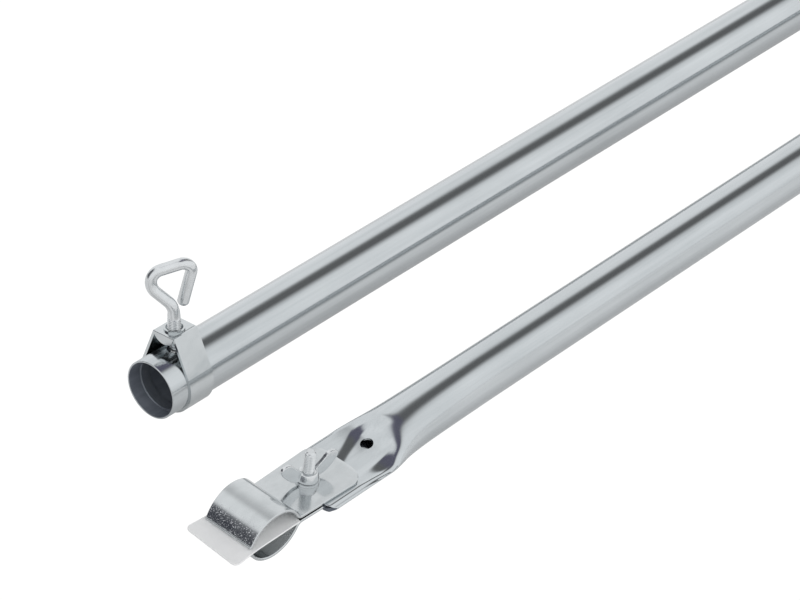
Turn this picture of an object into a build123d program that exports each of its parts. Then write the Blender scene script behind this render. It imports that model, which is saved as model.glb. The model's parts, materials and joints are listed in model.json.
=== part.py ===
from build123d import *
import math
import os

# Telescopic bed cargo bar, taken apart: the outer section (open mouth, collar and eye screw) and the
# inner section (tube clip) lie side by side. All sizes are in millimetres and degrees.
# Working frame: the centre of the outer tube's mouth is the origin, +X runs along the bar, +Z is up.

# Tubes
WALL = 1.0
OUTER_R = 16.0
OUTER_LENGTH = 950.0
INNER_R = 14.0
INNER_LENGTH = 700.0
SECTION_GAP = 111.8         # between the two tubes' axes
NEAR_CUT_LEAD = 13.0        # the inner section's cut end lies this far in front of the mouth
INNER_DROP = 2.8            # the inner section's axis lies this much lower than the outer one's
NEAR_ROLL = 8.0             # the inner section lies rolled about its own axis

# Flattened tube end, from the cut end inwards
FLAT_THICK = 4.0
FLAT_CENTRE = 0.4           # middle of the flattened end, above the tube's axis
FLAT_SIDE = -1.3            # and to one side of it
OUTER_FLAT_WIDTH = 46.0
INNER_FLAT_WIDTH = 39.6
CUT_CORNER_R = 6.0
FLAT_END = 34.0
ROUND_START = 125.0
PUNCHED_R = 3.25
PUNCHED_X = 48.5

# Tube clip, measured from the tube's cut end
CLIP_PLANE = 1.9            # height of the liner strip's middle above the tube's axis
SHEET = 1.5
JAW_LIP_HALF = 14.7         # half width at the lip; the sheet widens to the plate's rear
JAW_REAR_HALF = 17.0
JAW_GAP = 1.3               # between the two jaw plates
JAW_REAR_X = 29.0
JAW_CORNER_R = 9.5
HUMP_X = -33.2
HUMP_CENTRE_Z = -4.4        # centre of the hump's arc, below the liner
HUMP_R = 17.0               # middle of the sheet
HUMP_REAR_FILLET = 3.6
HUMP_LIP_FILLET = 0.9
LIP_X = -50.2
BOLT_X = 5.1
LINER_THICK = 1.0
LINER_WIDTH = 33.0
LINER_TIP_X = -62.0
LINER_STEP_X = -17.5        # behind it only a narrow tongue lies between the plates
TONGUE_WIDTH = 22.0
LINER_REAR_X = -1.0
LINER_CORNER_R = 3.0

# M6 bolt, washer and wing nut of the clip
M6_PITCH = 1.0
M6_MAJOR = 2.95
M6_MINOR = 2.45
BOLT_TOP = 22.5
BOLT_HEAD_FLATS = 10.0
BOLT_HEAD_HEIGHT = 4.0
BOLT_HOLE_R = 3.25
JAW_SLOT = 1.4              # the jaw's hole is this much longer, so that the jaw can swing
WASHER_R = 6.0
WASHER_THICK = 1.2
STACK_GAP = 0.05
NUT_BASE_R = 5.6
NUT_TOP_R = 4.8
NUT_HEIGHT = 5.0
NUT_BORE_R = 3.0
WING_THICK = 2.0
WING_ANGLE = -14.0
WING_OUTLINE = [(3.6, 0.6), (8.6, 0.9), (16.4, 9.4), (15.2, 12.2), (10.4, 13.0), (3.6, 4.8)]
WING_TIP_R = 1.6

# Collar, nut and eye screw at the mouth
COLLAR_FRONT = 11.0
COLLAR_WIDTH = 16.4
COLLAR_R = 17.5
COLLAR_TOP = 27.7
COLLAR_TOP_HALF = 7.2
COLLAR_SEAM = 0.3
TAB_DEPTH = 5.6
TAB_HALF = 6.9
SCREW_X = 18.6
SCREW_HOLE_R = 4.5
COLLAR_NUT_FLATS = 11.0
COLLAR_NUT_HEIGHT = 5.6
COLLAR_NUT_BORE_R = 3.57
ROOF_HOLE_R = 4.5
RIM_R = 5.5                 # raised rim round the roof's hole
RIM_RISE = 0.9
M7_PITCH = 1.0
M7_MAJOR = 3.5
M7_MINOR = 3.0
ROD_R = 3.05
NECK_Z = 34.7
LOOP_TURN = -49.2           # the loop's plane about the screw's axis
LOOP_POINTS = [(0, 0, 0), (0, 0, 6.1), (-16.3, 0.8, 23.8), (11.0, 3.8, 30.8), (4.1, 7.0, 3.6)]
LOOP_RADII = [9.0, 5.4, 4.4]
PAD_R = 3.0
PAD_HEIGHT = 2.2
PAD_BOTTOM = 15.05
PAD_SOCKET_R = 1.6
PAD_SOCKET_DEPTH = 1.3
PILOT_R = 1.55

# Guide ring in the mouth, and the inner tube's end plug
RING_X = 7.5
RING_LENGTH = 6.0
RING_OUTER_R = 14.93
RING_INNER_R = 14.15
PLUG_FLANGE = 2.0
PLUG_DEPTH = 12.0
PLUG_GAP = 0.05


def tube_outline(x, radius, width, thick, share):
    """Tube section across X: round at share 0, a flat stadium at share 1."""
    spread = math.sqrt(share)
    side_angle = math.radians(90.0 * thick / (2.0 * radius))
    flat_half = (width - thick) / 2.0
    corner_y = radius * math.cos(side_angle) * (1 - spread) + flat_half * spread
    side_y = radius * (1 - spread) + width / 2.0 * spread
    middle = FLAT_CENTRE * share
    side = FLAT_SIDE * share
    corner_z = radius * math.sin(side_angle) * (1 - share) + thick / 2.0 * share
    crown_z = radius * (1 - share) + thick / 2.0 * share
    upper, lower = middle + corner_z, middle - corner_z
    far_y, near_y = side + corner_y, side - corner_y
    far_side = ThreePointArc((x, far_y, lower), (x, side + side_y, middle), (x, far_y, upper))
    near_side = ThreePointArc((x, near_y, upper), (x, side - side_y, middle), (x, near_y, lower))
    if share == 1:
        top = Line((x, far_y, upper), (x, near_y, upper))
        base = Line((x, near_y, lower), (x, far_y, lower))
    else:
        top = ThreePointArc((x, far_y, upper), (x, side, middle + crown_z), (x, near_y, upper))
        base = ThreePointArc((x, near_y, lower), (x, side, middle - crown_z), (x, far_y, lower))
    return Wire([far_side.edge(), top.edge(), near_side.edge(), base.edge()])


def flatten_share(x):
    """How flat the tube is at x: 1 near the cut end, 0 where it is round."""
    ramp = (ROUND_START - x) / (ROUND_START - FLAT_END)
    return ramp * ramp * (3 - 2 * ramp)


def squeezed_body(length, radius, width, thick):
    """Solid body with a flat end at X 0, a smooth transition and a round length."""
    stations = [FLAT_END, 42, 52, 64, 78, 92, 106, 117, ROUND_START]
    outlines = [tube_outline(x, radius, width, thick, flatten_share(x)) for x in stations]
    transition = Solid.make_loft(outlines)
    flat = extrude(Face(tube_outline(0, radius, width, thick, 1)), FLAT_END, dir=(1, 0, 0))
    round_length = length - ROUND_START
    start = Plane(origin=(ROUND_START, 0, 0), x_dir=(0, 1, 0), z_dir=(1, 0, 0))
    straight = extrude(start * Circle(radius), round_length)
    return Part() + [flat, transition, straight]


def upright_cylinder(radius, low, high, x=0.0, y=0.0):
    return Pos(x, y, low) * Cylinder(radius, high - low, align=(Align.CENTER, Align.CENTER, Align.MIN))


def cut_corner(width, side):
    """What is cut off one corner of the flattened end, so that it is rounded in plan."""
    r = CUT_CORNER_R
    edge = FLAT_SIDE + side * width / 2
    block = Pos(r / 2 - 1, edge - side * (r / 2 - 1), FLAT_CENTRE) * Box(r + 2, r + 2, 2 * FLAT_THICK)
    return block - upright_cylinder(r, -OUTER_R, OUTER_R, r, edge - side * r)


def section_tube(length, radius, width):
    """Hollow tube, flattened at X 0, with its bolt hole and punched hole."""
    outside = squeezed_body(length, radius, width, FLAT_THICK)
    inside = squeezed_body(length, radius - WALL, width - 2 * WALL, FLAT_THICK - 2 * WALL)
    tube = outside - inside - cut_corner(width, 1) - cut_corner(width, -1)
    tube -= upright_cylinder(BOLT_HOLE_R, -radius, radius, BOLT_X)
    tube -= upright_cylinder(PUNCHED_R, -radius, radius, PUNCHED_X)
    return tube


def outer_tube():
    """The far section's tube, in the flattened end's frame, with the eye screw's hole."""
    tube = section_tube(OUTER_LENGTH, OUTER_R, OUTER_FLAT_WIDTH)
    return tube - upright_cylinder(SCREW_HOLE_R, 0, OUTER_R + 1, OUTER_LENGTH - SCREW_X)


def sheet_side(offset):
    """One side of the jaw's bent sheet, from the lip to the plate's rear edge."""
    plate_z = (JAW_GAP + SHEET) / 2.0
    edges = []
    ends = []
    for bend_r, side in ((HUMP_LIP_FILLET, -1), (HUMP_REAR_FILLET, 1)):
        rise = plate_z + bend_r - HUMP_CENTRE_Z
        reach = math.sqrt((HUMP_R + bend_r) ** 2 - rise ** 2)
        angle = math.atan2(rise, reach)
        centre = (HUMP_X + side * reach, plate_z + bend_r)
        foot = (centre[0], plate_z + offset)
        half = (math.pi / 2 - angle) / 2
        bend = bend_r - offset
        middle = (centre[0] - side * bend * math.sin(half), centre[1] - bend * math.cos(half))
        shoulder = (HUMP_X + side * (HUMP_R + offset) * math.cos(angle),
                    HUMP_CENTRE_Z + (HUMP_R + offset) * math.sin(angle))
        edges.append(ThreePointArc(foot, middle, shoulder))
        ends.append((foot, shoulder))
    crown_top = (HUMP_X, HUMP_CENTRE_Z + HUMP_R + offset)
    crown = ThreePointArc(ends[0][1], crown_top, ends[1][1])
    lip = Line((LIP_X, plate_z + offset), ends[0][0])
    plate = Line(ends[1][0], (JAW_REAR_X, plate_z + offset))
    return [lip, edges[0], crown, edges[1], plate]


def jaw_plan():
    """The jaw seen from above: it widens from the lip to the well-rounded rear corners."""
    corners = [(JAW_REAR_X, JAW_REAR_HALF), (LIP_X, JAW_LIP_HALF),
               (LIP_X, -JAW_LIP_HALF), (JAW_REAR_X, -JAW_REAR_HALF)]
    plan = make_face(Polyline(*corners, close=True))
    plan = fillet(plan.vertices().group_by(Axis.X)[-1], JAW_CORNER_R)
    return extrude(plan, 2 * HUMP_R)


def jaw():
    """Upper jaw about the liner's middle plane: a half-round hump and a flat plate."""
    upper = sheet_side(SHEET / 2)
    lower = sheet_side(-SHEET / 2)
    lip_end = Line(upper[0] @ 0, lower[0] @ 0)
    rear_end = Line(upper[-1] @ 1, lower[-1] @ 1)
    outline = Wire([e.edge() for e in upper + lower + [lip_end, rear_end]])
    profile = Plane.XZ * Face(outline)
    body = extrude(profile, JAW_REAR_HALF + 1, both=True) & jaw_plan()
    slot = upright_cylinder(BOLT_HOLE_R, 0, HUMP_R, BOLT_X)
    slot += upright_cylinder(BOLT_HOLE_R, 0, HUMP_R, BOLT_X - JAW_SLOT)
    slot += Pos(BOLT_X - JAW_SLOT / 2, 0, HUMP_R / 2) * Box(JAW_SLOT, 2 * BOLT_HOLE_R, HUMP_R)
    return body - slot


def thread(major, minor, pitch, low, high):
    """Threaded rod about Z, its thread as a row of sharp rings."""
    count = int((high - low) / pitch)
    points = [(0, low), (minor, low)]
    for i in range(count):
        points.append((major, low + (i + 0.5) * pitch))
        points.append((minor, low + (i + 1) * pitch))
    points += [(minor, high), (0, high)] if high - points[-1][1] > 0.01 else [(0, high)]
    profile = Plane.XZ * make_face(Polyline(*points, close=True))
    return revolve(profile, Axis.Z)


def hexagon_prism(flats, low, high):
    outline = RegularPolygon(flats / 2, 6, major_radius=False, rotation=30)
    return Pos(0, 0, low) * extrude(outline, high - low)


def clip_bolt():
    """Hexagon-head bolt from below the tube, about the liner's middle plane."""
    seat = FLAT_CENTRE - FLAT_THICK / 2 - CLIP_PLANE
    head = hexagon_prism(BOLT_HEAD_FLATS, seat - BOLT_HEAD_HEIGHT, seat)
    shank = upright_cylinder(M6_MAJOR, seat, 0)
    bolt = head + shank + thread(M6_MAJOR, M6_MINOR, M6_PITCH, 0, BOLT_TOP - CLIP_PLANE)
    return Pos(BOLT_X, 0, 0) * bolt


def washer(base):
    ring = upright_cylinder(WASHER_R, base, base + WASHER_THICK)
    return Pos(BOLT_X, 0, 0) * (ring - upright_cylinder(BOLT_HOLE_R, base, base + WASHER_THICK))


def wing():
    """One wing in the XZ plane, flaring up and out from the nut's base."""
    sheet = make_face(Polyline(*WING_OUTLINE, close=True))
    tips = sheet.vertices().sort_by(Axis.X)[-3:]
    sheet = fillet(tips, WING_TIP_R)
    return extrude(Plane.XZ * sheet, WING_THICK / 2, both=True)


def wing_nut(base):
    cone = Solid.make_cone(NUT_BASE_R, NUT_TOP_R, NUT_HEIGHT)
    nut = Part() + [cone, wing(), Rot(0, 0, 180) * wing()]
    nut -= upright_cylinder(NUT_BORE_R, -1, NUT_HEIGHT + 1)
    return Pos(BOLT_X, 0, base) * Rot(0, 0, WING_ANGLE) * nut


def liner_strip():
    """White strip lying in the clip's mouth, with a narrower tongue between the jaw plates."""
    sheet = Rectangle(LINER_STEP_X - LINER_TIP_X, LINER_WIDTH)
    sheet = fillet(sheet.vertices().group_by(Axis.X)[0], LINER_CORNER_R)
    sheet = Pos((LINER_STEP_X + LINER_TIP_X) / 2, 0) * sheet
    tongue_length = LINER_REAR_X - LINER_STEP_X
    sheet += Pos(LINER_STEP_X + tongue_length / 2, 0) * Rectangle(tongue_length, TONGUE_WIDTH)
    return Pos(0, 0, -LINER_THICK / 2) * extrude(sheet, LINER_THICK)


def clip_pieces(prefix, end):
    """All pieces of one tube clip, placed on the flattened end whose frame is end."""
    place = end * Pos(0, 0, CLIP_PLANE)
    washer_base = JAW_GAP / 2 + SHEET + STACK_GAP
    nut_base = washer_base + WASHER_THICK + STACK_GAP
    upper = jaw()
    return {
        prefix + "_upper_jaw": place * upper,
        prefix + "_lower_jaw": place * mirror(upper, about=Plane.XY),
        prefix + "_clip_bolt": place * clip_bolt(),
        prefix + "_washer": place * washer(washer_base),
        prefix + "_wing_nut": place * wing_nut(nut_base),
        prefix + "_liner_strip": place * liner_strip(),
    }


def collar_outline():
    """House-shaped outside of the collar across X: round below, a flat roof above."""
    corner = math.hypot(COLLAR_TOP_HALF, COLLAR_TOP)
    lean = math.atan2(COLLAR_TOP_HALF, COLLAR_TOP) + math.acos(COLLAR_R / corner)
    tangent_y = COLLAR_R * math.sin(lean)
    tangent_z = COLLAR_R * math.cos(lean)
    bowl = ThreePointArc((0, -tangent_y, tangent_z), (0, 0, -COLLAR_R), (0, tangent_y, tangent_z))
    walls = Polyline((0, tangent_y, tangent_z), (0, COLLAR_TOP_HALF, COLLAR_TOP),
                     (0, -COLLAR_TOP_HALF, COLLAR_TOP), (0, -tangent_y, tangent_z))
    return Face(Wire([bowl.edge()] + walls.edges()))


def collar_band():
    """Sheet collar: one strip round the tube, its roof ending in a seam at the near corner."""
    outline = collar_outline()
    inside = offset(outline, -(COLLAR_R - OUTER_R - 0.03), kind=Kind.INTERSECTION)
    band = extrude(outline, COLLAR_WIDTH, dir=(1, 0, 0)) - extrude(inside, COLLAR_WIDTH, dir=(1, 0, 0))
    roof_edge = band.edges().filter_by(Axis.X).group_by(Axis.Z)[-1].sort_by(Axis.Y)[-1]
    band = fillet(roof_edge, 1.2)
    arc_r = (TAB_HALF ** 2 + TAB_DEPTH ** 2) / (2 * TAB_DEPTH)
    side = Plane(origin=(-0.5, 0, COLLAR_TOP), x_dir=(0, 1, 0), z_dir=(1, 0, 0))
    disc = side * Pos(0, arc_r - TAB_DEPTH) * Circle(arc_r)
    tab = extrude(disc, SHEET)
    tab -= Pos(0, 0, COLLAR_TOP + arc_r) * Box(10, 4 * arc_r, 2 * arc_r)
    front = tab.edges().filter_by(Axis.Y).group_by(Axis.X)[0]
    tab = fillet(front, 0.45)
    band += tab
    roof = COLLAR_TOP - SHEET / 2
    seam = Pos(COLLAR_WIDTH / 2 + SHEET, COLLAR_SEAM / 2 - COLLAR_TOP_HALF + SHEET * 0.75, roof)
    band -= seam * Box(COLLAR_WIDTH + SHEET, COLLAR_SEAM, 2 * SHEET)
    hole_x = SCREW_X - COLLAR_FRONT
    band += upright_cylinder(RIM_R, COLLAR_TOP - SHEET / 2, COLLAR_TOP + RIM_RISE, hole_x)
    band -= upright_cylinder(ROOF_HOLE_R, COLLAR_TOP / 2, COLLAR_TOP + 2, hole_x)
    return Pos(COLLAR_FRONT, 0, 0) * band


def collar_nut():
    """Threaded nut held under the collar's roof."""
    roof = COLLAR_TOP - SHEET
    nut = hexagon_prism(COLLAR_NUT_FLATS, roof - COLLAR_NUT_HEIGHT, roof)
    nut -= upright_cylinder(COLLAR_NUT_BORE_R, 0, COLLAR_TOP + 5)
    return Pos(SCREW_X, 0, 0) * nut


def eye_screw():
    """Screw bent from one rod: pilot, thread, and an open loop that ends beside the neck."""
    tip = PAD_BOTTOM + PAD_HEIGHT + STACK_GAP
    screw = thread(M7_MAJOR, M7_MINOR, M7_PITCH, tip, NECK_Z)
    screw += upright_cylinder(PILOT_R, tip - PAD_SOCKET_DEPTH + 0.1, tip)
    points = [Vector(x, y, z + NECK_Z) for x, y, z in LOOP_POINTS]
    path = FilletPolyline(*points, radius=LOOP_RADII)
    start = Plane(origin=points[0], z_dir=(0, 0, 1))
    loop = sweep(start * Circle(ROD_R), path=path)
    return Pos(SCREW_X, 0, 0) * Rot(0, 0, LOOP_TURN) * (screw + loop)


def pressure_pad():
    top = PAD_BOTTOM + PAD_HEIGHT
    pad = upright_cylinder(PAD_R, PAD_BOTTOM, top)
    pad -= upright_cylinder(PAD_SOCKET_R, top - PAD_SOCKET_DEPTH, top)
    return Pos(SCREW_X, 0, 0) * pad


def ring_along_x(outer_r, inner_r, start, length):
    side = Plane(origin=(start, 0, 0), x_dir=(0, 1, 0), z_dir=(1, 0, 0))
    ring = extrude(side * Circle(outer_r), length)
    return ring - extrude(side * Circle(inner_r), length)


def guide_ring():
    ring = ring_along_x(RING_OUTER_R, RING_INNER_R, RING_X, RING_LENGTH)
    mouth = ring.edges().filter_by(GeomType.CIRCLE).group_by(Axis.X)[0].sort_by(SortBy.RADIUS)[0]
    return chamfer(mouth, 0.4)


def end_plug():
    """Plug in the inner tube's plain end, in the flattened end's frame."""
    body_r = INNER_R - WALL - PLUG_GAP
    plug = ring_along_x(body_r, body_r - 1.6, INNER_LENGTH - PLUG_DEPTH, PLUG_DEPTH)
    side = Plane(origin=(INNER_LENGTH, 0, 0), x_dir=(0, 1, 0), z_dir=(1, 0, 0))
    flange = extrude(side * Circle(INNER_R - 0.1), PLUG_FLANGE)
    rim = flange.edges().filter_by(GeomType.CIRCLE).group_by(Axis.X)[-1]
    return plug + fillet(rim, 1.0)


def all_pieces():
    far_end = Pos(OUTER_LENGTH, 0, 0) * Rot(0, 0, 180)
    near_end = Pos(-NEAR_CUT_LEAD, -SECTION_GAP, -INNER_DROP) * Rot(NEAR_ROLL, 0, 0)
    pieces = {
        "outer_tube": far_end * outer_tube(),
        "collar_band": collar_band(),
        "collar_nut": collar_nut(),
        "pressure_pad": pressure_pad(),
        "eye_screw": eye_screw(),
        "guide_ring": guide_ring(),
        "inner_tube": near_end * section_tube(INNER_LENGTH, INNER_R, INNER_FLAT_WIDTH),
        "end_plug": near_end * end_plug(),
    }
    pieces.update(clip_pieces("near", near_end))
    pieces.update(clip_pieces("far", far_end))
    return pieces


def stand_on_origin(pieces):
    """Move everything so that the origin is the bottom centre of the whole set's box."""
    solids = [solid for piece in pieces.values() for solid in piece.solids()]
    box = Compound(solids).bounding_box()
    shift = Vector(-box.center().X, -box.center().Y, -box.min.Z)
    return {name: Pos(shift) * Part(piece.solids()) for name, piece in pieces.items()}, shift


PIECES, MOUTH = stand_on_origin(all_pieces())


if __name__ == "__main__":
    os.makedirs("parts", exist_ok=True)
    for name, piece in PIECES.items():
        export_step(piece, f"parts/{name}.step")
    print("mouth centre", MOUTH)
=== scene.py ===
import json
import math

import bmesh
import bpy
from mathutils import Matrix, Vector


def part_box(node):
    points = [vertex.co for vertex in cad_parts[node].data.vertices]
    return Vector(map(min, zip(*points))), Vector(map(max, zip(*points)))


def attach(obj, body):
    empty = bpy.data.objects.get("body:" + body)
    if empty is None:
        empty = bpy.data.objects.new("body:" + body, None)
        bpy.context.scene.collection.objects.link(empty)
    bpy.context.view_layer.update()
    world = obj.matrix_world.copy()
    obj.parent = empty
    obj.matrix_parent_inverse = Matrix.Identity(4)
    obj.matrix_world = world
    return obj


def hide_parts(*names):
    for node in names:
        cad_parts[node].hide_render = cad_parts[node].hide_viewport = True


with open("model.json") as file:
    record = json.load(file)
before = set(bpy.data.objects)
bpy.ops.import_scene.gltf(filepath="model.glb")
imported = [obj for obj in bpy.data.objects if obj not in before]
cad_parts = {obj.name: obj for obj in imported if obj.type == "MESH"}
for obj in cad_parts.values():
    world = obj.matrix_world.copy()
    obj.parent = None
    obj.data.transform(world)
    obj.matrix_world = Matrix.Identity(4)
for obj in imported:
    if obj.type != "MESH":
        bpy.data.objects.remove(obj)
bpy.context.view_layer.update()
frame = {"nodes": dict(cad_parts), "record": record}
SCENE = bpy.context.scene


# ---------------------------------------------------------------- node helpers

class Nodes:
    """A material's or world's node tree, with short calls for the nodes used here."""

    def __init__(self, tree):
        self.tree = tree
        tree.nodes.clear()

    def add(self, kind, **settings):
        node = self.tree.nodes.new(kind)
        for name, value in settings.items():
            setattr(node, name, value)
        return node

    def link(self, source, target):
        self.tree.links.new(source, target)

    def put(self, socket, value):
        if isinstance(value, bpy.types.NodeSocket):
            self.link(value, socket)
        else:
            socket.default_value = value

    def maths(self, operation, a, b=None, clamp=False):
        node = self.add("ShaderNodeMath", operation=operation, use_clamp=clamp)
        self.put(node.inputs[0], a)
        if b is not None:
            self.put(node.inputs[1], b)
        return node.outputs[0]

    def spread(self, value, low, high, new_low=0.0, new_high=1.0):
        """Smooth step of value from low..high to new_low..new_high."""
        node = self.add("ShaderNodeMapRange", interpolation_type="SMOOTHSTEP")
        for i, item in enumerate((value, low, high, new_low, new_high)):
            self.put(node.inputs[i], item)
        return node.outputs[0]

    def noise(self, scale, stretch=(1, 1, 1), detail=3.0, roughness=0.5, warp=0.0):
        coordinates = self.add("ShaderNodeTexCoord")
        mapping = self.add("ShaderNodeMapping")
        mapping.inputs["Scale"].default_value = stretch
        self.link(coordinates.outputs["Object"], mapping.inputs["Vector"])
        node = self.add("ShaderNodeTexNoise")
        self.link(mapping.outputs[0], node.inputs["Vector"])
        node.inputs["Scale"].default_value = scale
        node.inputs["Detail"].default_value = detail
        node.inputs["Roughness"].default_value = roughness
        node.inputs["Distortion"].default_value = warp
        return node.outputs["Fac"]

    def ramp(self, value, stops):
        node = self.add("ShaderNodeValToRGB")
        self.link(value, node.inputs[0])
        elements = node.color_ramp.elements
        while len(elements) < len(stops):
            elements.new(0.5)
        for element, (place, colour) in zip(elements, stops):
            element.position = place
            element.color = (*colour, 1.0)
        return node.outputs["Color"]

    def mix(self, factor, a, b, blend="MIX"):
        node = self.add("ShaderNodeMix", data_type="RGBA", blend_type=blend)
        for socket, item in ((node.inputs[0], factor), (node.inputs[6], a), (node.inputs[7], b)):
            if isinstance(item, tuple):
                item = (*item, 1.0)
            self.put(socket, item)
        return node.outputs[2]


def material(name):
    """New material with a Principled shader joined to its output."""
    made = bpy.data.materials.new(name)
    made.use_nodes = True
    nodes = Nodes(made.node_tree)
    shader = nodes.add("ShaderNodeBsdfPrincipled")
    output = nodes.add("ShaderNodeOutputMaterial")
    nodes.link(shader.outputs[0], output.inputs[0])
    return made, nodes, shader


def bump(nodes, shader, height, strength, distance):
    node = nodes.add("ShaderNodeBump")
    node.inputs["Strength"].default_value = strength
    node.inputs["Distance"].default_value = distance
    nodes.link(height, node.inputs["Height"])
    nodes.link(node.outputs[0], shader.inputs["Normal"])


# ---------------------------------------------------------------- materials

def zinc(name, dark, light, rough, streak, grain, bumps, speck_sheen=0.0, metallic=1.0):
    """Bright zinc plating with drawn streaks along the bar and a fine grain.

    rough is the roughness (smoothest, roughest). With speck_sheen, steep faces get light dull spots of the
    plating; keeping them to steep faces only is a painted sheen.
    """
    made, nodes, shader = material(name)
    shader.inputs["Metallic"].default_value = metallic
    lines = nodes.noise(260.0, (streak, 1, 1), 4.0, 0.6)
    cloud = nodes.noise(38.0, (0.45, 1, 1), 3.0, 0.55)
    fine = nodes.noise(grain, (1, 1, 1), 2.0, 0.6)
    tone = nodes.maths("ADD", nodes.maths("MULTIPLY", lines, 0.45), nodes.maths("MULTIPLY", cloud, 0.35))
    tone = nodes.maths("ADD", tone, nodes.maths("MULTIPLY", fine, 0.2))
    colour = nodes.ramp(tone, [(0.36, dark), (0.64, light)])
    roughness = nodes.spread(tone, 0.35, 0.65, rough[1], rough[0])
    if speck_sheen:
        # painted sheen: the light dull spots of the plating are kept to steep faces only, so steep faces read
        # lighter
        facing = nodes.add("ShaderNodeSeparateXYZ")
        nodes.link(nodes.add("ShaderNodeTexCoord").outputs["Normal"], facing.inputs[0])
        steep = nodes.spread(nodes.maths("ABSOLUTE", facing.outputs[2]), 0.70, 0.86, 1.0, 0.0)
        sheen_specks = nodes.spread(nodes.noise(1500.0, (1, 1, 1), 1.0, 0.5), 0.585, 0.69, 0.0, 1.0)
        sheen_specks = nodes.maths("MULTIPLY", sheen_specks, steep)
        colour = nodes.mix(sheen_specks, colour, (0.62, 0.63, 0.66))
        roughness = nodes.maths("ADD", roughness, nodes.maths("MULTIPLY", sheen_specks, speck_sheen), clamp=True)
        shine = nodes.maths("SUBTRACT", 1.0, nodes.maths("MULTIPLY", sheen_specks, 0.5))
        nodes.link(shine, shader.inputs["Metallic"])
    nodes.link(colour, shader.inputs["Base Color"])
    nodes.link(roughness, shader.inputs["Roughness"])
    height = nodes.maths("ADD", nodes.maths("MULTIPLY", lines, 0.6), nodes.maths("MULTIPLY", fine, 0.4))
    bump(nodes, shader, height, bumps, 0.00006)
    return made


def plastic(name, dark, light, rough):
    """Matt plastic, a little cloudy, with a shallow grain."""
    made, nodes, shader = material(name)
    cloud = nodes.noise(60.0, (1, 1, 1), 3.0, 0.5)
    fine = nodes.noise(240.0, (1, 1, 1), 2.0, 0.5)
    tone = nodes.maths("ADD", nodes.maths("MULTIPLY", cloud, 0.6), nodes.maths("MULTIPLY", fine, 0.4))
    nodes.link(nodes.ramp(tone, [(0.3, dark), (0.7, light)]), shader.inputs["Base Color"])
    nodes.link(nodes.spread(tone, 0.3, 0.7, rough[0], rough[1]), shader.inputs["Roughness"])
    shader.inputs["Specular IOR Level"].default_value = 0.4
    bump(nodes, shader, fine, 0.1, 0.00002)
    return made


TUBE_ZINC = zinc("tube_zinc", (0.53, 0.56, 0.575), (0.64, 0.67, 0.685), (0.11, 0.18), 0.02, 2600.0, 0.09)
SHEET_ZINC = zinc("sheet_zinc", (0.58, 0.61, 0.62), (0.65, 0.675, 0.685), (0.12, 0.20), 0.5, 1900.0, 0.08)
# the jaws' plating gets light dull spots, painted as a sheen on steep faces only
JAW_ZINC = zinc("jaw_zinc", (0.58, 0.605, 0.615), (0.65, 0.675, 0.685), (0.12, 0.18), 0.5, 1900.0, 0.08, 0.3)
HARDWARE_ZINC = zinc("hardware_zinc", (0.66, 0.68, 0.69), (0.76, 0.78, 0.79), (0.13, 0.20), 0.8, 2200.0, 0.06,
                     metallic=0.88)
RING_STEEL = zinc("ring_steel", (0.13, 0.145, 0.175), (0.20, 0.22, 0.25), (0.34, 0.46), 1.0, 1500.0, 0.15,
                  metallic=0.3)


def bore_zinc():
    """The tubes' unpolished inside: dull, bluish, with faint lengthwise marks."""
    made, nodes, shader = material("bore_zinc")
    lines = nodes.noise(300.0, (0.06, 1, 1), 3.0, 0.6)
    cloud = nodes.noise(90.0, (1, 1, 1), 3.0, 0.6)
    tone = nodes.maths("ADD", nodes.maths("MULTIPLY", lines, 0.5), nodes.maths("MULTIPLY", cloud, 0.5))
    nodes.link(nodes.ramp(tone, [(0.35, (0.13, 0.145, 0.175)), (0.65, (0.19, 0.21, 0.245))]),
               shader.inputs["Base Color"])
    nodes.link(nodes.spread(tone, 0.35, 0.65, 0.42, 0.55), shader.inputs["Roughness"])
    shader.inputs["Metallic"].default_value = 0.15
    bump(nodes, shader, lines, 0.2, 0.00008)
    return made


BORE_ZINC = bore_zinc()
WHITE_PLASTIC = plastic("white_plastic", (0.90, 0.90, 0.895), (0.95, 0.95, 0.945), (0.42, 0.58))
BLACK_PLASTIC = plastic("black_plastic", (0.016, 0.016, 0.017), (0.035, 0.035, 0.036), (0.42, 0.6))

FINISH = {
    "zinc_tube": TUBE_ZINC,
    "zinc_sheet": SHEET_ZINC,
    "zinc_hardware": HARDWARE_ZINC,
    "ring_steel": RING_STEEL,
    "white_plastic": WHITE_PLASTIC,
    "black_plastic": BLACK_PLASTIC,
}
NODE_FINISH = {
    "outer_tube": "zinc_tube", "inner_tube": "zinc_tube", "guide_ring": "ring_steel",
    "collar_band": "zinc_sheet", "collar_nut": "zinc_hardware", "eye_screw": "zinc_hardware",
    "pressure_pad": "zinc_hardware", "end_plug": "black_plastic",
}
for side in ("near", "far"):
    for piece, finish in (("upper_jaw", "zinc_sheet"), ("lower_jaw", "zinc_sheet"),
                          ("clip_bolt", "zinc_hardware"), ("washer", "zinc_hardware"),
                          ("wing_nut", "zinc_hardware"), ("liner_strip", "white_plastic")):
        NODE_FINISH[f"{side}_{piece}"] = finish


def paint(obj, made):
    """Give every face of obj the one material."""
    obj.data.materials.clear()
    obj.data.materials.append(made)
    for polygon in obj.data.polygons:
        polygon.material_index = 0


for name, node in frame["nodes"].items():
    paint(node, FINISH[NODE_FINISH[name]])


# ---------------------------------------------------------------- mesh helpers (all shapes in millimetres)

MM = 0.001
WALL = 1.0
INNER_R = 14.0
OUTER_R = 16.0


def smooth(value, low, high):
    """Smooth step from 0 at low to 1 at high."""
    share = min(1.0, max(0.0, (value - low) / (high - low)))
    return share * share * (3 - 2 * share)


def table(value, places, values):
    """Straight-line lookup of values at places."""
    for i in range(1, len(places)):
        if value <= places[i]:
            share = max(0.0, (value - places[i - 1]) / (places[i] - places[i - 1]))
            return values[i - 1] + share * (values[i] - values[i - 1])
    return values[-1]


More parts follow.
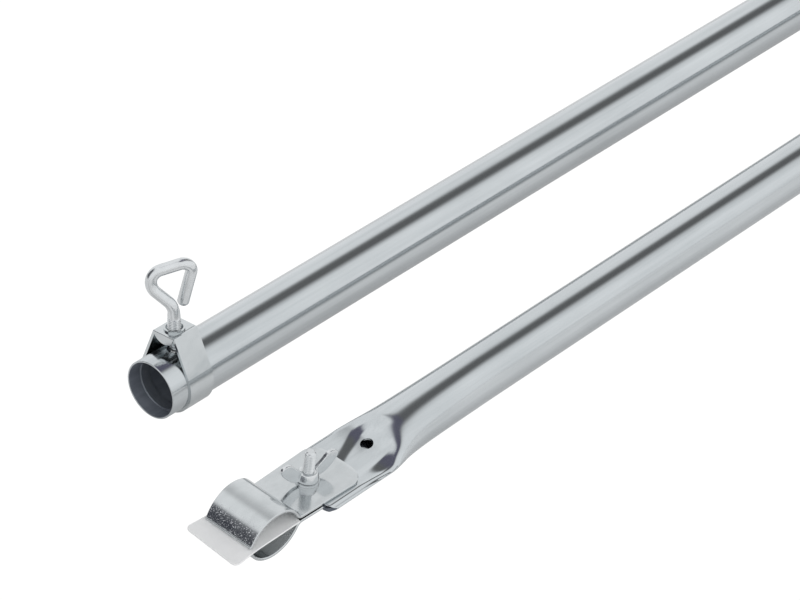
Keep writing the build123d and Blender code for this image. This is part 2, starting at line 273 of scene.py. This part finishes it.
def finish_mesh(obj, angle=38.0):
    """Outward faces, smooth shading, and sharp edges where faces meet at more than angle."""
    edit = bmesh.new()
    edit.from_mesh(obj.data)
    bmesh.ops.recalc_face_normals(edit, faces=edit.faces)
    edit.to_mesh(obj.data)
    edit.free()
    obj.data.shade_smooth()
    obj.data.set_sharp_from_angle(angle=math.radians(angle))


def skin(name, rows, place, made, ring=False, lining=None):
    """Object whose surface runs through rows of points; ring joins the last row to the first.

    lining is (first row, material) for the rows that take a second material.
    """
    count = len(rows[0])
    points = [place @ (Vector(point) * MM) for row in rows for point in row]
    faces = []
    inside = []
    for i in range(len(rows) if ring else len(rows) - 1):
        low, high = i * count, (i + 1) % len(rows) * count
        for j in range(count):
            k = (j + 1) % count
            faces.append((low + j, low + k, high + k, high + j))
            inside.append(1 if lining and i >= lining[0] else 0)
    if not ring:
        faces.append(tuple(reversed(range(count))))
        faces.append(tuple(range(len(points) - count, len(points))))
        inside += [0, 0]
    mesh = bpy.data.meshes.new(name)
    mesh.from_pydata(points, [], faces)
    obj = bpy.data.objects.new(name, mesh)
    SCENE.collection.objects.link(obj)
    mesh.materials.append(made)
    if lining:
        mesh.materials.append(lining[1])
        mesh.polygons.foreach_set("material_index", inside)
    finish_mesh(obj)
    return obj


def settle(obj, tools=()):
    """Apply an object's modifiers to its mesh and remove the objects that they used."""
    graph = bpy.context.evaluated_depsgraph_get()
    mesh = bpy.data.meshes.new_from_object(obj.evaluated_get(graph))
    obj.modifiers.clear()
    obj.data = mesh
    for tool in tools:
        bpy.data.objects.remove(tool)


def combine(obj, tool, operation):
    cut = obj.modifiers.new(operation, "BOOLEAN")
    cut.operation = operation
    cut.solver = "EXACT"
    cut.object = tool
    settle(obj, [tool])
    finish_mesh(obj)


def circle(radius, height, centre=(0.0, 0.0), count=48):
    turns = [2 * math.pi * i / count for i in range(count)]
    return [(centre[0] + radius * math.cos(a), centre[1] + radius * math.sin(a), height) for a in turns]


def drill(obj, place, radius, low, high, centre, slot=0.0):
    """Round or slotted hole along the place's Z; slot lengthens it towards -X."""
    def outline(height):
        return [(x - slot if x < centre[0] else x, y, height) for x, y, z in circle(radius, 0, centre)]
    combine(obj, skin("drill", [outline(low), outline(high)], place, None), "DIFFERENCE")


# ---------------------------------------------------------------- places

def centre_of(node):
    low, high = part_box(node)
    return (Vector(low) + Vector(high)) / 2


RING_CENTRE = centre_of("guide_ring")
PLUG_CENTRE = centre_of("end_plug")
OUTER_LOW, OUTER_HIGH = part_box("outer_tube")
INNER_LOW, INNER_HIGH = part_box("inner_tube")
MOUTH = Vector((OUTER_LOW[0], RING_CENTRE.y, RING_CENTRE.z))
AXES = {joint["name"]: joint["axis"] for joint in frame["record"]["behaviour"]["joints"]}
NEAR_ROLL = math.atan2(-AXES["near_nut_lift"][1], AXES["near_nut_lift"][2])
MOUTH_PLACE = Matrix.Translation(MOUTH)
NEAR_PLACE = (Matrix.Translation((INNER_LOW[0], PLUG_CENTRE.y, PLUG_CENTRE.z))
              @ Matrix.Rotation(NEAR_ROLL, 4, "X"))
FAR_PLACE = Matrix.Translation((OUTER_HIGH[0], MOUTH.y, MOUTH.z)) @ Matrix.Rotation(math.pi, 4, "Z")
OUTER_LENGTH = (OUTER_HIGH[0] - OUTER_LOW[0]) / MM
INNER_LENGTH = (INNER_HIGH[0] - INNER_LOW[0]) / MM
CLIP_PLANE = 1.9


# ---------------------------------------------------------------- tubes

FLAT_HALF = 2.0
FLAT_CENTRE = 0.4
FLAT_SIDE = -1.3
# radius of the rounded sides of a 28 mm tube, from its pressed end to where it is round
SIDE_PLACES = [0, 41, 45, 50, 56, 62, 68, 74, 80, 92, 104, 116, 130]
SIDE_RADII = [2, 2, 2.4, 3.6, 6.0, 8.5, 10.1, 11.1, 11.9, 12.7, 13.2, 13.6, 14]
# the wall of the pressed hollow: its line seen from above, from the clip round the punched hole
WALL_PLACES = [22, 29, 40, 48, 52, 56, 60, 64]
WALL_LINE = [0.8, 2.2, 6.4, 9.1, 9.4, 8.0, 5.2, 1.0]
WALL_REACH = 3.0            # half the width over which the wall falls
HOLLOW_DEPTH = 1.15
FOLD_DEPTH = 1.5
CUT_CORNER_R = 6.0
SOLID_SIDE = 2.0            # the pressed sides are closed this far in
OUTER_FLAT_HALF = 23.0
INNER_FLAT_HALF = 19.8
ROUND_FROM = 132            # past this the tube needs few rows
HOLE_X = 48.5
HOLE_R = 3.25
BOLT_X = 5.1
BOLT_HOLE_R = 3.25


def eased(x, places, values):
    """Table lookup smoothed over a few millimetres."""
    steps = [-3, -2, -1, 0, 1, 2, 3]
    return sum(table(x + step, places, values) for step in steps) / len(steps)


def side_radius(x):
    """Radius of the inner tube's rounded sides at x."""
    return eased(x, SIDE_PLACES, SIDE_RADII)


def even_outline(flat, radius, count):
    """Stadium outline with points at even spacing, from the top's middle towards -Y."""
    length = 4 * flat + 2 * math.pi * radius
    bend = math.pi * radius
    points = []
    for i in range(count):
        run = i / count * length
        if run < flat:
            points.append((-run, radius))
        elif run < flat + bend:
            angle = (run - flat) / radius
            points.append((-flat - radius * math.sin(angle), radius * math.cos(angle)))
        elif run < 3 * flat + bend:
            points.append((run - 2 * flat - bend, -radius))
        elif run < 3 * flat + 2 * bend:
            angle = (run - 3 * flat - bend) / radius
            points.append((flat + radius * math.sin(angle), -radius * math.cos(angle)))
        else:
            points.append((length - run, radius))
    return points


def dent(x, y):
    """Depth of the pressed hollow round the punched hole, and of the slope beside the near fold."""
    wall = eased(x, WALL_PLACES, WALL_LINE)
    along = smooth(x, 23, 31) * (1 - smooth(x, 57, 68))
    across = (1 - smooth(y, wall - WALL_REACH, wall + WALL_REACH)) * smooth(y, wall - 26, wall - 8)
    hollow = HOLLOW_DEPTH * along * across
    slope = FOLD_DEPTH * smooth(-y, 10.5, 17.0) * smooth(x, 28, 43) * (1 - smooth(x, 46, 56))
    return hollow + slope


def tube_row(x, radius, half_width, inset, count):
    """Section of a tube whose end at X 0 is pressed flat."""
    share = (INNER_R - side_radius(x)) / (INNER_R - FLAT_HALF)
    bend = radius - share * (radius - FLAT_HALF)
    flat = share * (half_width - FLAT_HALF)
    if inset > 0.65:
        flat -= min(flat, SOLID_SIDE * (1 - smooth(x, 36, 50)))
    wide, tall = flat + bend, 2 * radius - flat - bend
    oval = smooth(x, 50, 64)
    pinch = 0.42 * (1 - smooth(x, 39, 47))
    row = []
    for i, (y, z) in enumerate(even_outline(flat, bend - inset, count)):
        turn = 2 * math.pi * i / count
        y = y * (1 - oval) - (wide - inset) * math.sin(turn) * oval
        z = z * (1 - oval) + (tall - inset) * math.cos(turn) * oval
        z *= 1 - pinch * smooth(abs(y), wide - 2.6, wide - 1.2)
        if z > 0 and share > 0:
            z -= dent(x, y) * smooth(z / max(bend, 1), 0.1, 0.6)
        over = abs(y) - (wide - CUT_CORNER_R)
        back = CUT_CORNER_R - math.sqrt(max(0.0, CUT_CORNER_R ** 2 - over ** 2)) if over > 0 else 0.0
        row.append((x + back * (1 - smooth(x, 0, 12)), y + FLAT_SIDE * share, z + FLAT_CENTRE * share))
    return row


def tube(name, place, length, radius, half_width):
    """Tube with one pressed end, its bore lined with the duller zinc, and the two holes of that end."""
    count = 168
    places = [0.35, 0.9] + [1.5 + i for i in range(130)]
    step = (length - ROUND_FROM) / 24
    places += [ROUND_FROM + step * i for i in range(1, 24)]
    rim = [(0.0, 0.3), (0.1, 0.1)]
    rim_end = (0.3, 0.0)

    def row(x, inset):
        return tube_row(x, radius, half_width, inset, count)
    rows = [row(x, inset) for x, inset in rim]
    rows += [row(x, 0.0) for x in places]
    rows += [row(length - x, inset) for x, inset in (rim_end, *reversed(rim))]
    first_inside = len(rows)
    rows += [row(length - x, WALL - inset) for x, inset in (*rim, rim_end)]
    rows += [row(x, WALL) for x in reversed(places)]
    rows += [row(x, WALL - inset) for x, inset in reversed(rim)]
    obj = skin(name, rows, place, TUBE_ZINC, ring=True, lining=(first_inside + 1, BORE_ZINC))
    drill(obj, place, BOLT_HOLE_R, -radius, radius, (BOLT_X, 0.0))
    drill(obj, place, HOLE_R, -radius, radius, (HOLE_X, 0.0))
    return obj


# ---------------------------------------------------------------- screws

def rounded_path(points, radii, step):
    """Points along straight runs joined by arcs of the given radii."""
    points = [Vector(point) for point in points]
    path = [points[0]]
    start = points[0]
    for i, radius in enumerate(radii):
        corner, after = points[i + 1], points[i + 2]
        into, out = (corner - start).normalized(), (after - corner).normalized()
        angle = into.angle(out)
        reach = radius * math.tan(angle / 2)
        first, last = corner - into * reach, corner + out * reach
        run = (first - start).length
        path += [start + into * (run * k / int(run / step + 1)) for k in range(1, int(run / step + 1))]
        centre = first + (out - into * into.dot(out)).normalized() * radius
        count = max(6, int(radius * angle / step) + 1)
        normal = into.cross(out).normalized()
        spoke = first - centre
        path += [centre + Matrix.Rotation(angle * k / count, 3, normal) @ spoke for k in range(count + 1)]
        start = last
    run = (points[-1] - start).length
    count = int(run / step) + 1
    return path + [start.lerp(points[-1], k / count) for k in range(1, count + 1)]


def sweep(path, radius_at, count):
    """Rows of points round a path; radius_at(run, angle) gives the radius."""
    rows = []
    across = Vector((1, 0, 0))
    run = 0.0
    for i, point in enumerate(path):
        before, after = path[max(i - 1, 0)], path[min(i + 1, len(path) - 1)]
        ahead = (after - before).normalized()
        across = (across - ahead * across.dot(ahead)).normalized()
        up = ahead.cross(across)
        if i:
            run += (point - path[i - 1]).length
        row = []
        for k in range(count):
            angle = 2 * math.pi * k / count
            radius = radius_at(run, angle)
            row.append(point + across * (radius * math.cos(angle)) + up * (radius * math.sin(angle)))
        rows.append(row)
    return rows


def thread_radius(run, angle, major, minor, pitch, low, high):
    """Right-handed helical thread between low and high, fading in and out over half a turn."""
    phase = (run / pitch - angle / (2 * math.pi)) % 1.0
    ridge = min(1.0, max(0.0, 1.35 - abs(phase - 0.5) * 3.1))
    fade = smooth(run, low, low + pitch) * (1 - smooth(run, high - pitch, high))
    return minor + (major - minor) * ridge * fade


SCREW_X = 18.6
SCREW_TIP = 17.3
NECK_Z = 34.7
LOOP_TURN = math.radians(-49.2)
LOOP_POINTS = [(0, 0, 6.1), (-17.3, 0.8, 22.2), (11.0, 3.8, 30.8), (4.1, 7.0, 3.6)]
LOOP_RADII = [9.0, 7.0, 4.4]
SCREW_HOLE_R = 4.5
THREAD_STEP = 0.125
M7 = (3.5, 2.95, 1.0)       # major radius, minor radius, pitch
M6 = (2.95, 2.42, 1.0)
HEAD_FLATS = 10.0


def eye_screw():
    """Threaded stem and bent loop, swept as one rod."""
    length = NECK_Z - SCREW_TIP
    threaded = [Vector((0, 0, SCREW_TIP + k * THREAD_STEP)) for k in range(int(length / THREAD_STEP))]
    bent = [(0, 0, NECK_Z)] + [(x, y, z + NECK_Z) for x, y, z in LOOP_POINTS]
    path = threaded + rounded_path(bent, LOOP_RADII, 1.0)
    total = sum((b - a).length for a, b in zip(path, path[1:]))

    def radius_at(run, angle):
        if run < length:
            cut = thread_radius(run, angle, *M7, 0.4, length - 0.2)
            return cut - 0.5 * (1 - smooth(run, 0, 0.6))
        rod = 3.3 - 0.25 * smooth(run, length, length + 4)
        return rod - 0.55 * smooth(run, total - 0.6, total)
    place = MOUTH_PLACE @ Matrix.Translation((SCREW_X * MM, 0, 0)) @ Matrix.Rotation(LOOP_TURN, 4, "Z")
    return skin("bent_eye_screw", sweep(path, radius_at, 40), place, HARDWARE_ZINC)


def clip_bolt(name, place):
    """Hexagon head below the flattened end, shank, and a helical thread to the top."""
    seat, top = -3.5, 20.6
    count = 48

    def hexagon(limit, height):
        row = []
        for k in range(count):
            angle = 2 * math.pi * k / count
            radius = HEAD_FLATS / 2 / math.cos((angle + math.pi / 6) % (math.pi / 3) - math.pi / 6)
            radius = min(radius, limit)
            row.append((radius * math.cos(angle), radius * math.sin(angle), height))
        return row
    rows = [hexagon(4.6, seat - 4), hexagon(5.5, seat - 3.6), hexagon(6, seat - 3.2)]
    rows += [hexagon(6, seat - 0.05), circle(4.8, seat, count=count), circle(3.0, seat, count=count)]
    start = seat + 0.05
    steps = int((top - start) / THREAD_STEP)
    path = [Vector((0, 0, start + k * THREAD_STEP)) for k in range(steps + 1)]
    total = steps * THREAD_STEP

    def radius_at(run, angle):
        cut = thread_radius(run, angle, *M6, 2.5, total - 0.3)
        plain = 2.95 * (1 - smooth(run, 2.3, 3.0)) + cut * smooth(run, 2.3, 3.0)
        return plain - 0.7 * smooth(run, total - 0.8, total)
    rows += sweep(path, radius_at, count)
    return skin(name, rows, place @ Matrix.Translation((BOLT_X * MM, 0, 0)), HARDWARE_ZINC)


# ---------------------------------------------------------------- clip sheet, liner and wing nut

SHEET = 1.5
JAW_GAP = 1.3
HUMP_X = -33.2
HUMP_CENTRE_Z = -4.4
HUMP_R = 17.0
LIP_X = -50.2
JAW_LIP_HALF = 14.7
JAW_REAR_HALF = 17.0
JAW_REAR_X = 29.0
JAW_REAR_RUN = 10.5         # the rear stretch with rows close together
LIP_FILLET = 0.9
REAR_FILLET = 3.6
JAW_CORNER_R = 9.5
JAW_SLOT = 1.4
LINER_TIP, LINER_STEP, LINER_REAR = -62.0, -17.5, -1.0
LINER_HALF = 16.5
LINER_SHOULDER = 5.5        # the tongue is this much narrower on each side
LINER_CORNER_R = 3.0


def jaw_line():
    """Middle line of the upper jaw's sheet as (x, z, slope angle)."""
    plate_z = (JAW_GAP + SHEET) / 2
    line = []
    joins = []
    for bend_r, side in ((LIP_FILLET, -1), (REAR_FILLET, 1)):
        rise = plate_z + bend_r - HUMP_CENTRE_Z
        reach = math.sqrt((HUMP_R + bend_r) ** 2 - rise ** 2)
        joins.append((HUMP_X + side * reach, plate_z + bend_r, bend_r, math.atan2(reach, rise)))
    lip_x, lip_z, lip_r, lip_turn = joins[0]
    rear_x, rear_z, rear_r, rear_turn = joins[1]
    for k in range(5):
        line.append((LIP_X + (lip_x - LIP_X) * k / 5, plate_z, 0.0))
    for k in range(9):
        a = lip_turn * k / 8
        line.append((lip_x + lip_r * math.sin(a), lip_z - lip_r * math.cos(a), a))
    for k in range(1, 48):
        a = lip_turn + (-rear_turn - lip_turn) * k / 48
        line.append((HUMP_X - HUMP_R * math.sin(a), HUMP_CENTRE_Z + HUMP_R * math.cos(a), a))
    for k in range(15):
        a = -rear_turn * (1 - k / 14)
        line.append((rear_x + rear_r * math.sin(a), rear_z - rear_r * math.cos(a), a))
    for k in range(1, 30):
        line.append((rear_x + (JAW_REAR_X - JAW_REAR_RUN - rear_x) * k / 29, plate_z, 0.0))
    for k in range(1, 21):
        line.append((JAW_REAR_X - JAW_REAR_RUN * math.cos(math.pi / 2 * k / 20), plate_z, 0.0))
    return line


def jaw_half(x):
    """Half width of the jaw at x, with its rounded rear corners."""
    half = JAW_LIP_HALF + (JAW_REAR_HALF - JAW_LIP_HALF) * (x - LIP_X) / (JAW_REAR_X - LIP_X)
    over = min(x - (JAW_REAR_X - JAW_CORNER_R), JAW_CORNER_R)
    return half - (JAW_CORNER_R - math.sqrt(JAW_CORNER_R ** 2 - over ** 2)) if over > 0 else half


def sheet_rows(line, half_at, thick, edge, move=None):
    """Closed rows round a bent sheet with bevelled edges, along its middle line."""
    rows = []
    last = len(line) - 1
    for i, (x, z, slope) in enumerate(line):
        shrink = edge if i in (0, last) else 0.3 * edge if i in (1, last - 1) else 0.0
        half, up = half_at(x) - shrink, thick / 2 - shrink
        soft = edge - shrink
        side = [(half, up - soft), (half - soft, up)]
        flat = half - soft - 0.1
        spans = [flat * (1 - k / 6) for k in range(13)]
        top = side + [(y, up) for y in spans] + [(-y, t) for y, t in reversed(side)]
        loop = top + [(y, -t) for y, t in reversed(top)]
        row = [(x - t * math.sin(slope), y, z + t * math.cos(slope)) for y, t in loop]
        rows.append([move(point) for point in row] if move else row)
    return rows


def jaw(name, place, flip):
    """Clip jaw with its bolt slot; flip -1 turns it over."""
    rows = sheet_rows(jaw_line(), jaw_half, SHEET, 0.35)
    rows = [[(x, y, z * flip) for x, y, z in row] for row in rows]
    obj = skin(name, rows, place, JAW_ZINC)
    drill(obj, place, BOLT_HOLE_R, -5, 5, (BOLT_X, 0.0), JAW_SLOT)
    return obj


def liner(name, place):
    """Plastic strip: its free tip is twisted and droops a little, as it was bent off a roll."""
    def half_at(x):
        over = LINER_TIP + LINER_CORNER_R - x
        corner = 0.0
        if over > 0:
            corner = LINER_CORNER_R - math.sqrt(LINER_CORNER_R ** 2 - min(over, LINER_CORNER_R) ** 2)
        return LINER_HALF - corner - LINER_SHOULDER * smooth(x, LINER_STEP, LINER_STEP + 1.2)

    def bend(point):
        x, y, z = point
        free = smooth(-x, 46, 62)
        under = smooth(-x, 15, 24) * (1 - smooth(-x, 40, 48))
        return (x, y, z + free * (0.075 * y - 0.2) + under * 0.5 * (1 - (y / 18) ** 2))
    places = [LINER_TIP + LINER_CORNER_R * (1 - math.cos(math.pi / 2 * k / 8)) for k in range(9)]
    places += [LINER_TIP + LINER_CORNER_R + 1.3 * k for k in range(1, 32)]
    places += [LINER_STEP + step for step in (0, 0.4, 0.8, 1.2)]
    places += [-12.0, -8.0, -4.0, LINER_REAR - 0.3, LINER_REAR]
    places = sorted(places)
    line = [(x, 0.0, 0.0) for x in places]
    return skin(name, sheet_rows(line, half_at, 1.0, 0.3, bend), place, WHITE_PLASTIC)


WING_TURN = math.radians(-14)
WASHER_TOP = 3.45
WING_OUTLINE = [(2.5, 0.4), (8.4, 0.7), (13.0, 4.6), (16.4, 9.0), (16.2, 11.4), (13.8, 13.0),
                (10.6, 12.8), (7.4, 9.0), (2.5, 4.6)]


def chaikin(points):
    """One round of corner cutting on a closed outline."""
    cut = []
    for a, b in zip(points, points[1:] + points[:1]):
        for share in (0.25, 0.75):
            cut.append(tuple(p * (1 - share) + q * share for p, q in zip(a, b)))
    return cut


def wing_nut(name, place, turn):
    """Cone-shaped body fused with two ears, remeshed so that the joins are rounded."""
    body = [circle(r, z) for r, z in ((5.0, 0.0), (5.6, 0.4), (5.5, 1.5), (5.0, 4.0), (4.7, 4.8), (4.3, 5.1))]
    nut_place = place @ Matrix.Rotation(turn, 4, "Z")
    obj = skin(name, body, nut_place, HARDWARE_ZINC)
    outline = chaikin(chaikin(WING_OUTLINE))
    for side in (1, -1):
        ear = [[(side * x, y * (1 - 0.12 * smooth(x, 6, 16)), z) for x, z in outline] for y in (-1.05, 1.05)]
        combine(obj, skin("ear", ear, nut_place, None), "UNION")
    remesh = obj.modifiers.new("remesh", "REMESH")
    remesh.mode = "VOXEL"
    remesh.voxel_size = 0.24 * MM
    soften = obj.modifiers.new("soften", "SMOOTH")
    soften.factor = 0.5
    soften.iterations = 4
    settle(obj)
    obj.data.materials.clear()
    obj.data.materials.append(HARDWARE_ZINC)
    finish_mesh(obj, 60)
    drill(obj, nut_place, 3.0, -2, 8, (0.0, 0.0))
    return obj


def stand_for(piece, body, node):
    """Let piece ride on body in place of the CAD node."""
    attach(piece, body)
    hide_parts(node)


def build_pieces():
    outer = tube("outer_tube_skin", FAR_PLACE, OUTER_LENGTH, OUTER_R, OUTER_FLAT_HALF)
    drill(outer, FAR_PLACE, SCREW_HOLE_R, 2, OUTER_R + 1, (OUTER_LENGTH - SCREW_X, 0.0))
    stand_for(outer, "outer_section", "outer_tube")
    inner = tube("inner_tube_skin", NEAR_PLACE, INNER_LENGTH, INNER_R, INNER_FLAT_HALF)
    stand_for(inner, "inner_section", "inner_tube")
    stand_for(eye_screw(), "eye_screw", "eye_screw")
    for side, end, body in (("near", NEAR_PLACE, "inner_section"), ("far", FAR_PLACE, "outer_section")):
        place = end @ Matrix.Translation((0, 0, CLIP_PLANE * MM))
        upper = jaw(f"{side}_upper_jaw_sheet", place, 1)
        stand_for(upper, f"{side}_upper_jaw", f"{side}_upper_jaw")
        lower = jaw(f"{side}_lower_jaw_sheet", place, -1)
        stand_for(lower, body, f"{side}_lower_jaw")
        stand_for(liner(f"{side}_liner_sheet", place), body, f"{side}_liner_strip")
        stand_for(clip_bolt(f"{side}_bolt", place), body, f"{side}_clip_bolt")
        nut_place = place @ Matrix.Translation((BOLT_X * MM, 0, WASHER_TOP * MM))
        nut = wing_nut(f"{side}_wing_nut_cast", nut_place, WING_TURN)
        stand_for(nut, f"{side}_wing_nut", f"{side}_wing_nut")


build_pieces()


# ---------------------------------------------------------------- studio

COOL_DARK = (0.135, 0.132, 0.180)
DARK_END = (0.050, 0.053, 0.068)


def world_light():
    """Bright sky with a dark gap along the bar overhead and a dark patch beyond the clip end."""
    world = bpy.data.worlds.new("studio")
    SCENE.world = world
    world.use_nodes = True
    nodes = Nodes(world.node_tree)
    direction = nodes.add("ShaderNodeTexCoord").outputs["Generated"]
    split = nodes.add("ShaderNodeSeparateXYZ")
    nodes.link(direction, split.inputs[0])
    x, y, z = split.outputs
    turn = nodes.maths("ARCTAN2", z, y)
    share = nodes.maths("ADD", nodes.maths("DIVIDE", turn, 2 * math.pi), 0.5)

    def grey(value):
        return (value, value * 1.01, value * 1.02)

    def at(degrees):
        return degrees / 360 + 0.5

    stops = [
        (at(-20), grey(0.97)), (at(60), grey(0.95)), (at(66), grey(0.84)), (at(70), grey(0.60)),
        (at(76), grey(0.24)), (at(83), grey(0.15)), (at(99), grey(0.15)), (at(106), grey(0.42)),
        (at(112), grey(0.76)), (at(121), grey(0.93)), (at(132), grey(0.98)), (at(172), grey(0.98)),
        (at(178), grey(0.84)), (at(179.9), grey(0.80)),
    ]
    bands = nodes.ramp(share, stops)
    dim = nodes.spread(bands, 0.2, 0.5, 1.0, 0.0)
    cool = nodes.maths("MULTIPLY", nodes.spread(x, 0.28, 0.54, 1.0, 0.0), dim)
    bands = nodes.mix(cool, bands, COOL_DARK)
    front = nodes.maths("MULTIPLY", nodes.spread(x, -0.12, 0.24, 1.0, 0.0), nodes.spread(y, 0.05, 0.22))
    front = nodes.maths("MAXIMUM", front, nodes.spread(x, -0.50, -0.30, 1.0, 0.0))
    bands = nodes.mix(front, bands, grey(0.97))
    beside = nodes.spread(y, 0.25, 0.42)
    level = nodes.spread(z, 0.60, 0.76, 1.0, 0.0)
    ahead = nodes.spread(x, -0.34, -0.12, 1.0, 0.0)
    dark_end = nodes.maths("MULTIPLY", nodes.maths("MULTIPLY", beside, level), ahead)
    bands = nodes.mix(dark_end, bands, DARK_END)
    background = nodes.add("ShaderNodeBackground")
    nodes.link(bands, background.inputs[0])
    background.inputs[1].default_value = 1.0
    output = nodes.add("ShaderNodeOutputWorld")
    nodes.link(background.outputs[0], output.inputs[0])


FLOOR_HALF = 30.0
FLOOR_DROP = 0.0002
FLOOR_TO_CAMERA = 1.05


def floor():
    """Pale floor, evenly bright to the camera; reflections see it lit and glowing, the glow dimmer towards +Y
    and with painted shadows under each tube.
    """
    mesh = bpy.data.meshes.new("floor")
    corners = [(-1, -1), (1, -1), (1, 1), (-1, 1)]
    mesh.from_pydata([(x * FLOOR_HALF, y * FLOOR_HALF, -FLOOR_DROP) for x, y in corners], [], [(0, 1, 2, 3)])
    obj = bpy.data.objects.new("floor", mesh)
    SCENE.collection.objects.link(obj)
    made, nodes, shader = material("pale_floor")
    cloud = nodes.noise(3.0)
    nodes.link(nodes.ramp(cloud, [(0.3, (0.40, 0.40, 0.40)), (0.7, (0.42, 0.42, 0.42))]),
               shader.inputs["Base Color"])
    shader.inputs["Roughness"].default_value = 0.9
    shader.inputs["Specular IOR Level"].default_value = 0.1
    glow = nodes.add("ShaderNodeEmission")
    glow.inputs[1].default_value = FLOOR_TO_CAMERA
    soft_glow = nodes.add("ShaderNodeEmission")
    soft_glow.inputs[1].default_value = 1.0
    split = nodes.add("ShaderNodeSeparateXYZ")
    nodes.link(nodes.add("ShaderNodeTexCoord").outputs["Object"], split.inputs[0])
    across = split.outputs[1]
    # the glow that reflections see, set dimmer towards +Y
    reflected_glow_with_painted_shade = nodes.spread(across, -0.09, 0.04, 0.57, 0.48)
    # painted shadows: the glow is dimmed in a strip under each tube, at the tubes' rest places
    for tube_y in (MOUTH.y, PLUG_CENTRE.y):
        off = nodes.maths("ABSOLUTE", nodes.maths("SUBTRACT", across, tube_y))
        reflected_glow_with_painted_shade = nodes.maths("MULTIPLY", reflected_glow_with_painted_shade, nodes.spread(off, 0.010, 0.045, 0.62, 1.0))
    nodes.link(reflected_glow_with_painted_shade, soft_glow.inputs[0])
    both = nodes.add("ShaderNodeAddShader")
    nodes.link(shader.outputs[0], both.inputs[0])
    nodes.link(soft_glow.outputs[0], both.inputs[1])
    path = nodes.add("ShaderNodeLightPath")
    mixer = nodes.add("ShaderNodeMixShader")
    nodes.link(path.outputs["Is Camera Ray"], mixer.inputs[0])
    nodes.link(both.outputs[0], mixer.inputs[1])
    nodes.link(glow.outputs[0], mixer.inputs[2])
    output = [n for n in nodes.tree.nodes if n.type == "OUTPUT_MATERIAL"][0]
    nodes.link(mixer.outputs[0], output.inputs[0])
    mesh.materials.append(made)


LENS = 152.9
CAMERA_OFFSET = Vector((-0.984, -1.013, 0.942))
CAMERA_RIGHT = Vector((0.653, -0.757, 0.0))
CAMERA_AHEAD = Vector((0.640, 0.552, -0.534))


def camera():
    """Camera at the photo's angle, placed from the outer tube's mouth."""
    data = bpy.data.cameras.new("camera")
    data.lens = LENS
    data.sensor_width = 36.0
    data.clip_start = 0.05
    data.clip_end = 100.0
    obj = bpy.data.objects.new("camera", data)
    SCENE.collection.objects.link(obj)
    right = CAMERA_RIGHT.normalized()
    ahead = (CAMERA_AHEAD - right * CAMERA_AHEAD.dot(right)).normalized()
    up = right.cross(ahead)
    turn = Matrix((right, up, -ahead)).transposed().to_4x4()
    obj.matrix_world = Matrix.Translation(MOUTH + CAMERA_OFFSET) @ turn
    SCENE.camera = obj


world_light()
floor()
camera()
SCENE.view_settings.view_transform = "Standard"
SCENE.view_settings.look = "None"
